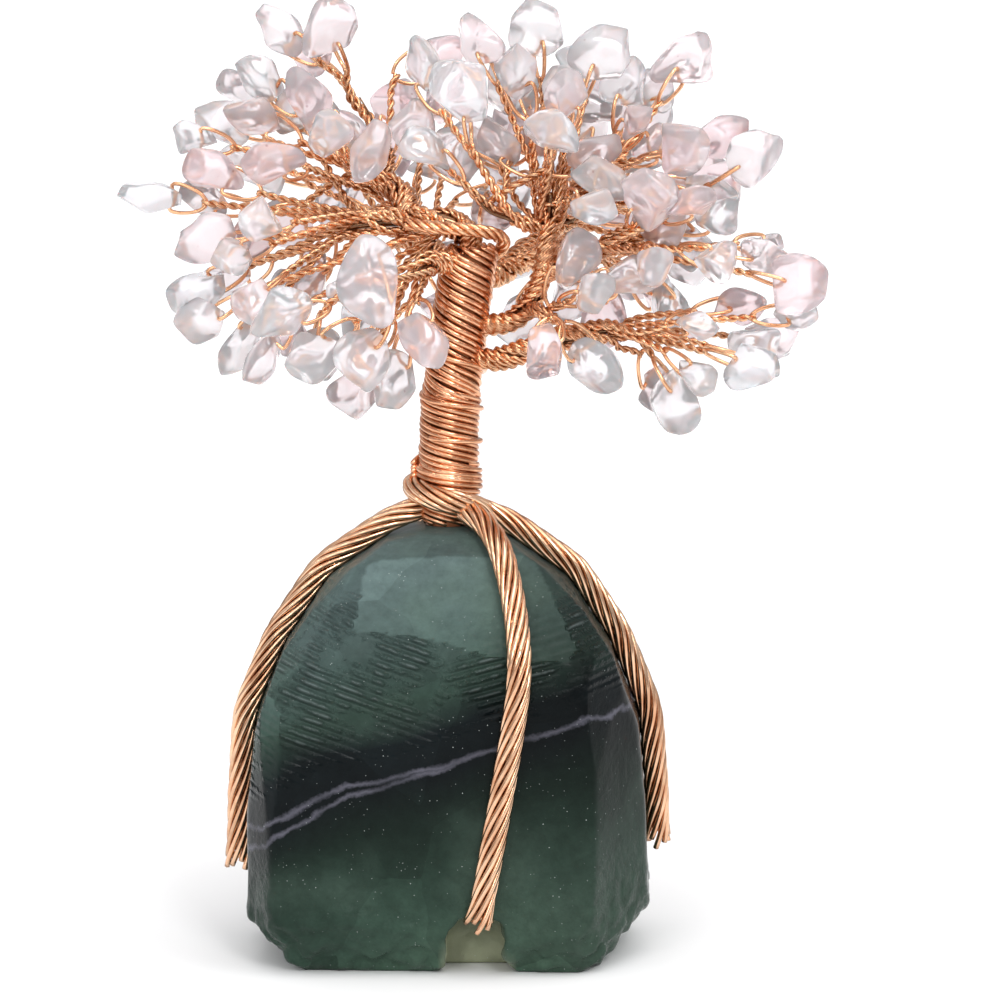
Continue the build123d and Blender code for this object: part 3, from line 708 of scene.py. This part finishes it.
def fits(spray, middle):
    """Whether a chip there is clear of the trunk, the gaps, the cables, other chips and their twigs."""
    if math.hypot(middle.x - TRUNK_LEAN, middle.y) < TRUNK_ROOM:
        return False
    if not in_box(middle, CROWN) or any(in_box(middle, gap) for gap in OPEN_GAPS):
        return False
    from_cables = [np.linalg.norm(spine - np.array(middle), axis=1).min() for spine in spines.values()]
    if min(from_cables) < CABLE_ROOM:
        return False
    fork = Vector(spines[spray][-1])
    outward = (middle - fork).normalized()
    for chip in chips:
        beside = SPRAYS[chip["spray"]] == SPRAYS[spray] and not chip["hung"]
        if (chip["middle"] - middle).length < (CHIP_ROOM if beside else OTHER_BODY_ROOM):
            return False
        spoke = chip["middle"] - fork
        if (not beside and spoke.dot(outward) > 0 and spoke.cross(outward).length < TWIG_ROOM
                and spoke.length < (middle - fork).length + TWIG_END):
            return False
    return True


for spray in SPRAYS:
    own = [chip for chip in chips if chip["spray"] == spray]
    fork = Vector(spines[spray][-1])
    onward = (fork - Vector(spines[spray][-4])).normalized()
    mean_reach = sum((chip["middle"] - fork).length for chip in own) / len(own)
    for number in range(TRIES):
        rise = 1 - 2 * (number + 0.5) / TRIES
        turn = number * math.pi * (3 - math.sqrt(5))
        flat = math.sqrt(1 - rise * rise)
        outward = Vector((flat * math.cos(turn), flat * math.sin(turn), rise))
        middle = fork + outward * mean_reach * (0.72 + 0.42 * scattered(number, 0.618))
        if outward.dot(onward) < TURNED_BACK or not fits(spray, middle):
            continue
        across = outward.cross(Vector((math.sin(number), math.cos(number), 0.3))).normalized()
        chips.append({"spray": spray, "middle": middle, "outward": outward,
                      "size": 0.85 + 0.2 * scattered(number, 0.754), "hung": None, "across": across,
                      "foot": own[number % len(own)]["foot"], "ring": own[0]["ring"], "added": True})

# Each chip's own size, and how it sits on its loop.
MOST_SWING = 0.5
LEAST_GROWTH, MOST_GROWTH = (1.06, 1.06, 1.05), (1.40, 1.42, 1.42)
for chip in chips:
    seed = int(abs(chip["middle"].x * 7e6 + chip["middle"].y * 3e6 + chip["middle"].z * 1e6))
    luck = np.random.default_rng(seed)
    side = np.array(chip["across"])
    out = np.array(chip["outward"])
    aside = np.cross(side, out)
    swing = 0 if chip["hung"] else luck.uniform(-MOST_SWING, MOST_SWING)
    chip["luck"] = luck
    chip["axes"] = np.array((out * math.cos(swing) + aside * math.sin(swing),
                             aside * math.cos(swing) - out * math.sin(swing), side))
    chip["half"] = CHIP_SIZE * chip["size"] / 2 * luck.uniform(LEAST_GROWTH, MOST_GROWTH)
    if chip["hung"] in HUNG_SHAPE:
        chip["half"] = chip["half"] * (1 + chip["axes"] ** 2 @ HUNG_SHAPE[chip["hung"]])
    chip["hole"] = np.array(chip["middle"]) - out * (CHIP_SIZE[0] * chip["size"] / 2 - HOLE_EDGE)
    chip["centre"] = chip["hole"] + chip["axes"][0] * (chip["half"][0] - HOLE_EDGE)

# The run of each twig: laid in its cable, out of it at its own place, and with a sway to its chip.
CLOSE_CABLES = ("right_bough", "right_low_bough")
CLOSE_SPREAD, OPEN_SPREAD = 0.2, 0.62
TWIG_STEP = 0.00032
SWAY = 0.002
for spray in SPRAYS:
    own = [chip for chip in chips if chip["spray"] == spray]
    spine = spines[spray][::-1]
    across, over = side_axes(spine)
    for number, chip in enumerate(own):
        spoke = np.array(chip["foot"]) - spine[0]
        start = math.atan2(np.dot(spoke, over[0]), np.dot(spoke, across[0])) + 0.35 * (number // 7)
        bundled = lay_round(spine, chip["ring"], start, CABLE_LAY)[::-1]
        leaves = 1 - (CLOSE_SPREAD if spray in CLOSE_CABLES else OPEN_SPREAD) * scattered(number, 0.618)
        together = [Vector(point) for point in bundled[:max(11, int(leaves * len(bundled)))][::5]]
        neck = Vector(chip["hole"]) - chip["outward"] * (HOLE_EDGE + LOOP_NECK)
        last = together[-1]
        sway = Vector((noise.noise(neck * 800), noise.noise(neck * 900), noise.noise(last * 900))) * SWAY
        bowed = last * 0.62 + neck * 0.38 + sway
        turned_in = last * 0.2 + neck * 0.8 + sway * 0.6 - chip["outward"] * 0.001
        chip["neck"] = neck
        chip["run"] = smooth_route(together + [bowed, turned_in, neck], TWIG_STEP)

# Gaps that chips keep, in metres. Where two bodies meet, a bough's bend needs more.
NEAR_CHIP, NEAR_WIRE = 0.016, 0.009
BODY_GAP, BEND_GAP = 0.0012, 0.095
SAME_BODY_GAP = -0.0014
HUNG_GAP = 0.0020
WIRE_GAP, WIRE_BEND_GAP = 0.0020, 0.0022
SMALLEST = 0.62


def reach_towards(chip, way):
    """How far a chip reaches from its middle in a direction."""
    return np.linalg.norm(chip["half"] * (chip["axes"] @ way))


def room_for(chip):
    """The share of its size that a chip can keep beside its neighbours and other boughs' wires."""
    share = 1.0
    from_trunk = math.hypot(chip["centre"][0], chip["centre"][1])
    for other in chips:
        other_body = SPRAYS[other["spray"]] != SPRAYS[chip["spray"]]
        way = other["centre"] - chip["centre"]
        apart = np.linalg.norm(way)
        if 0 < apart < NEAR_CHIP:
            bend = BODY_GAP + BEND_GAP * from_trunk * abs(way[2]) / apart
            gap = bend if other_body else SAME_BODY_GAP
            gap = max(gap, HUNG_GAP) if other["hung"] or chip["hung"] else gap
            both = reach_towards(chip, way / apart) + reach_towards(other, way / apart)
            share = min(share, (apart - gap) / both)
        if other_body:
            away = other["run"] - chip["centre"]
            gaps = np.linalg.norm(away, axis=1)
            near = gaps.argmin()
            if gaps[near] < NEAR_WIRE:
                clear = gaps[near] - WIRE_GAP - WIRE_BEND_GAP * abs(away[near][2]) / gaps[near]
                share = min(share, clear / reach_towards(chip, away[near] / gaps[near]))
    return share


for chip in chips:
    chip["room"] = room_for(chip)
chips = [chip for chip in chips if chip["room"] > SMALLEST or not chip["added"]]
for chip in chips:
    chip["half"] = chip["half"] * max(SMALLEST, chip["room"])

# The twisted pairs, their loops, the dark heart of each cable, painted dark as the shade inside it, and a
# tie across the top of the trunk.
LOOP_STEP = 0.00035
LOOP_SLACK = 1.2
THINNEST_HEART = 0.0003
TIE_WIRE, TIE_REACH, TIE_LAY, TIE_STRANDS = 0.00042, 0.00062, 0.0062, 4
TIE_ROUTE = ((-6, -2.6, 104.6), (-1.5, -3.9, 104.2), (3.0, -4.5, 104.0), (7.2, -3.0, 103.2),
             (8.2, 0.4, 101.4), (6.8, 2.6, 99.9), (5.2, 3.0, 98.8))
for spray, body in SPRAYS.items():
    own = [chip for chip in chips if chip["spray"] == spray]
    spine = spines[spray][::-1]
    wires = new_bundle()
    for number, chip in enumerate(own):
        for start in (0, math.pi):
            draw_wire(wires, lay_round(chip["run"], TWIG_WIRE * 0.95, start, TWIST), TWIG_WIRE,
                      shade=strand_shade(number, 0.86, 0.14))
        side = Vector(chip["across"])
        out = chip["outward"]
        hole = Vector(chip["hole"])
        span = (chip["half"][2] * CHIP_FACE + TWIG_WIRE) * LOOP_SLACK
        throat = chip["neck"] - out * 0.0006
        one_side = [throat + side * TWIG_WIRE, chip["neck"] + side * span * 0.6,
                    hole - out * 0.0018 + side * span, hole + out * 0.0004 + side * span,
                    hole + side * span * 0.4]
        back_again = [point - side * 2 * (point - hole).dot(side) for point in reversed(one_side)]
        draw_wire(wires, smooth_route(one_side + back_again, LOOP_STEP), TWIG_WIRE)
    # The cable's heart, painted dark as the shade among its twigs.
    heart = max(THINNEST_HEART, own[0]["ring"] - TWIG_WIRE * 1.6)
    draw_wire(wires, spine[2:], heart * np.linspace(0.35, 1.0, len(spine) - 2), 8, HEART_SHADE)
    if spray == "left_bough":
        tie = smooth_route([Vector(point) / MM for point in TIE_ROUTE], 0.0004)
        for strand in range(TIE_STRANDS):
            start = strand * 2 * math.pi / TIE_STRANDS
            draw_wire(wires, lay_round(tie, TIE_REACH, start, TIE_LAY), TIE_WIRE)
    place_piece(spray + "_wires", bundle_mesh(spray, wires), twig_copper, body,
                [spray + "_cable", spray + "_twigs"])


# Chips. Tumbled rose quartz, pale pink to milky white, each drilled near its thinner end for the
# wire loop and polished in the barrel, so its broken faces are rounded but still show.
PINKS = ((0.10, (0.97, 0.74, 0.77)), (0.38, (0.98, 0.86, 0.88)), (0.66, (0.97, 0.93, 0.95)),
         (1.0, (0.92, 0.92, 0.96)))
RUST = (0.42, 0.22, 0.20, 1)
rose_quartz, tree, surface = new_material("rose_quartz")
tint = add_node(tree, "ShaderNodeAttribute", attribute_name="tint").outputs["Fac"]
chip_place = add_node(tree, "ShaderNodeTexCoord").outputs["Object"]
milk = add_node(tree, "ShaderNodeTexNoise", {"Vector": chip_place, "Scale": 230.0, "Detail": 5.0,
                                             "Roughness": 0.6, "Distortion": 1.2}).outputs[0]
pinks = ramp(tree, work_out(tree, "MULTIPLY_ADD", milk, 0.7, tint), PINKS)
flecks = add_node(tree, "ShaderNodeGroup", {
    "Place": chip_place, "Fineness": 420.0, "Strength": 0.6, "Patches": 110.0, "Detail": 2.0,
    "Bare": 0.54, "Full": 0.62}, node_tree=specks).outputs["Mask"]
tumble = blotches(tree, chip_place, 500.0, 2.0)
worn_face = add_node(tree, "ShaderNodeBump", {"Strength": 0.08, "Distance": 0.0003, "Height": tumble})
tree.links.new(lay_over(tree, flecks, pinks, RUST), surface.inputs["Base Color"])
tree.links.new(worn_face.outputs[0], surface.inputs["Normal"])
surface.inputs["Roughness"].default_value = 0.025
surface.inputs["Transmission Weight"].default_value = 0.76
surface.inputs["Subsurface Weight"].default_value = 0.6
surface.inputs["Subsurface Radius"].default_value = (1.0, 0.75, 0.72)
surface.inputs["Subsurface Scale"].default_value = 0.0035
surface.inputs["IOR"].default_value = 1.54

ball = bmesh.new()
bmesh.ops.create_icosphere(ball, subdivisions=4, radius=1)
ball.verts.ensure_lookup_table()
BALL = np.array([vertex.co for vertex in ball.verts])
BALL_FACES = [tuple(vertex.index for vertex in face.verts) for face in ball.faces]
BALL_EDGES = np.array([[vertex.index for vertex in edge.verts] for edge in ball.edges])
ball.free()
NEIGHBOURS = np.bincount(BALL_EDGES.ravel())[:, None]
ROUGH_SIZE = 1.22           # of the rough ball, before faces are knocked off
KNOCKS, BOX_KNOCKS = 14, 6  # all faces, and those that make it roughly a block
DEEPEST_KNOCK = 0.68
HOLLOWS = 4
BARREL_PASSES = 2


def smooth_ball(spots):
    """Move each corner of a worn ball half way to the middle of its neighbours."""
    total = np.zeros_like(spots)
    np.add.at(total, BALL_EDGES[:, 0], spots[BALL_EDGES[:, 1]])
    np.add.at(total, BALL_EDGES[:, 1], spots[BALL_EDGES[:, 0]])
    return (spots + total / NEIGHBOURS) / 2


def tumbled(some_chips, name):
    """A mesh of chips: balls drawn out to one end, knocked flat and worn round in the barrel."""
    points = []
    faces = []
    tints = []
    for chip in some_chips:
        luck = chip["luck"]
        half = chip["half"]
        spots = BALL * half * ROUGH_SIZE
        spots[:, 1:] *= 1 - luck.uniform(-0.2, 0.5) * BALL[:, :1]
        for knock in range(KNOCKS):
            facing = luck.normal(size=3)
            level = luck.uniform(DEEPEST_KNOCK, 1.0)
            if knock < BOX_KNOCKS:
                flat = np.roll((0.0, 0.0, 1.0 - 2.0 * (knock % 2)), knock // 2)
                facing = flat + 0.3 * facing
                level = 0.8 + 0.6 * (level - DEEPEST_KNOCK)
            facing /= np.linalg.norm(facing)
            far = np.linalg.norm(facing * half) * level
            if knock < 2:   # the two broad faces, which come together towards the hole
                facing = flat - np.array(((1 - CHIP_FACE) * half[2] / (half[0] - HOLE_EDGE), 0, 0))
                far = half[2] / np.linalg.norm(facing)
                facing /= np.linalg.norm(facing)
            proud = np.clip(spots @ facing - far, 0, None)
            spots -= proud[:, None] * facing
        for _ in range(HOLLOWS):
            facing = luck.normal(size=3)
            facing /= np.linalg.norm(facing)
            away = np.linalg.norm(spots - facing * half * 1.05, axis=1)
            wide = half.mean() * luck.uniform(0.35, 0.75)
            spots -= facing * (np.exp(-(away / wide) ** 2) * wide * luck.uniform(0.15, 0.4))[:, None]
        for _ in range(BARREL_PASSES):
            spots = smooth_ball(spots)
        middle = chip["hole"] + chip["axes"][0] * (half[0] - HOLE_EDGE)
        faces += [tuple(corner + len(points) for corner in face) for face in BALL_FACES]
        points += list(middle + spots @ chip["axes"])
        tints += [luck.uniform(-0.1, 0.55)] * len(BALL)
    mesh = bpy.data.meshes.new(name)
    mesh.from_pydata(points, [], faces)
    mesh.attributes.new("tint", "FLOAT", "POINT").data.foreach_set("value", tints)
    mesh.update()
    mesh.shade_smooth()
    return mesh


for spray, body in SPRAYS.items():
    fixed = [chip for chip in chips if chip["spray"] == spray and not chip["hung"]]
    place_piece(spray + "_stones", tumbled(fixed, spray), rose_quartz, body,
                [spray + "_chips"])
for hung in HUNG:
    swinging = [chip for chip in chips if chip["hung"] == hung]
    place_piece(hung + "_stone", tumbled(swinging, hung), rose_quartz, hung, [hung])


# Floor, light and camera. A white table in soft light from above and the front, seen from a little
# above the stone, as the ornament was photographed.
TABLE_HALF = 8
floor_mesh = bpy.data.meshes.new("table")
floor_mesh.from_pydata([(-TABLE_HALF, -TABLE_HALF, 0), (TABLE_HALF, -TABLE_HALF, 0),
                        (TABLE_HALF, TABLE_HALF, 0), (-TABLE_HALF, TABLE_HALF, 0)], [], [(0, 1, 2, 3)])
floor = bpy.data.objects.new("table", floor_mesh)
bpy.context.scene.collection.objects.link(floor)
table_white, tree, surface = new_material("table_white")
surface.inputs["Base Color"].default_value = (0.94, 0.94, 0.94, 1)
surface.inputs["Roughness"].default_value = 0.6
surface.inputs["Specular IOR Level"].default_value = 0.1
floor_mesh.materials.append(table_white)

# The room is grey low down and bright above; through the quartz it is white, as the backdrop is.
ROOM = ((0.0, (0.34, 0.34, 0.35)), (0.35, (0.62, 0.62, 0.63)), (1.0, (1.05, 1.05, 1.06)))
BACKDROP = (1, 1, 1, 1)
sky = bpy.data.worlds.new("studio")
sky.use_nodes = True
bpy.context.scene.world = sky
tree = sky.node_tree
direction = add_node(tree, "ShaderNodeTexCoord").outputs["Generated"]
glow = ramp(tree, add_node(tree, "ShaderNodeSeparateXYZ", {0: direction}).outputs["Z"], ROOM)
through = add_node(tree, "ShaderNodeLightPath").outputs["Is Transmission Ray"]
tree.links.new(lay_over(tree, through, glow, BACKDROP), tree.nodes["Background"].inputs["Color"])
tree.nodes["Background"].inputs["Strength"].default_value = 1.0

# Lamps: strength, and in degrees how wide the lamp looks and its turn round x, y and z.
LAMPS = {
    "overhead": (0.95, 50, (14, 10, 0)), "front": (0.40, 40, (58, -28, 0)),
    "window": (0.70, 14, (50, 24, 0)), "left_spot": (0.10, 6, (36, -52, 0)),
    "right_spot": (0.10, 6, (30, 48, 0)), "high_spot": (0.10, 6, (24, -16, 0)),
    "low_spot": (0.08, 6, (68, 8, 0)), "side_spot": (0.10, 6, (62, -38, 0)),
}
for lamp_name, (strength, width, turn) in LAMPS.items():
    lamp_data = bpy.data.lights.new(lamp_name, "SUN")
    lamp_data.energy = strength
    lamp_data.angle = math.radians(width)
    lamp = bpy.data.objects.new(lamp_name, lamp_data)
    lamp.rotation_euler = [math.radians(part) for part in turn]
    bpy.context.scene.collection.objects.link(lamp)

EYE_CLIMB = 8
EYE_DISTANCE = 0.714
AIM = Vector((0.0074, 0, 0.0649))
eye_data = bpy.data.cameras.new("eye")
eye_data.sensor_width = 36
eye_data.lens = 180
eye_data.clip_start = 0.01
eye = bpy.data.objects.new("eye", eye_data)
bpy.context.scene.collection.objects.link(eye)
climb = math.radians(EYE_CLIMB)
eye.location = AIM + Vector((0, -math.cos(climb), math.sin(climb))) * EYE_DISTANCE
eye.rotation_euler = (math.radians(90 - EYE_CLIMB), 0, 0)
bpy.context.scene.camera = eye
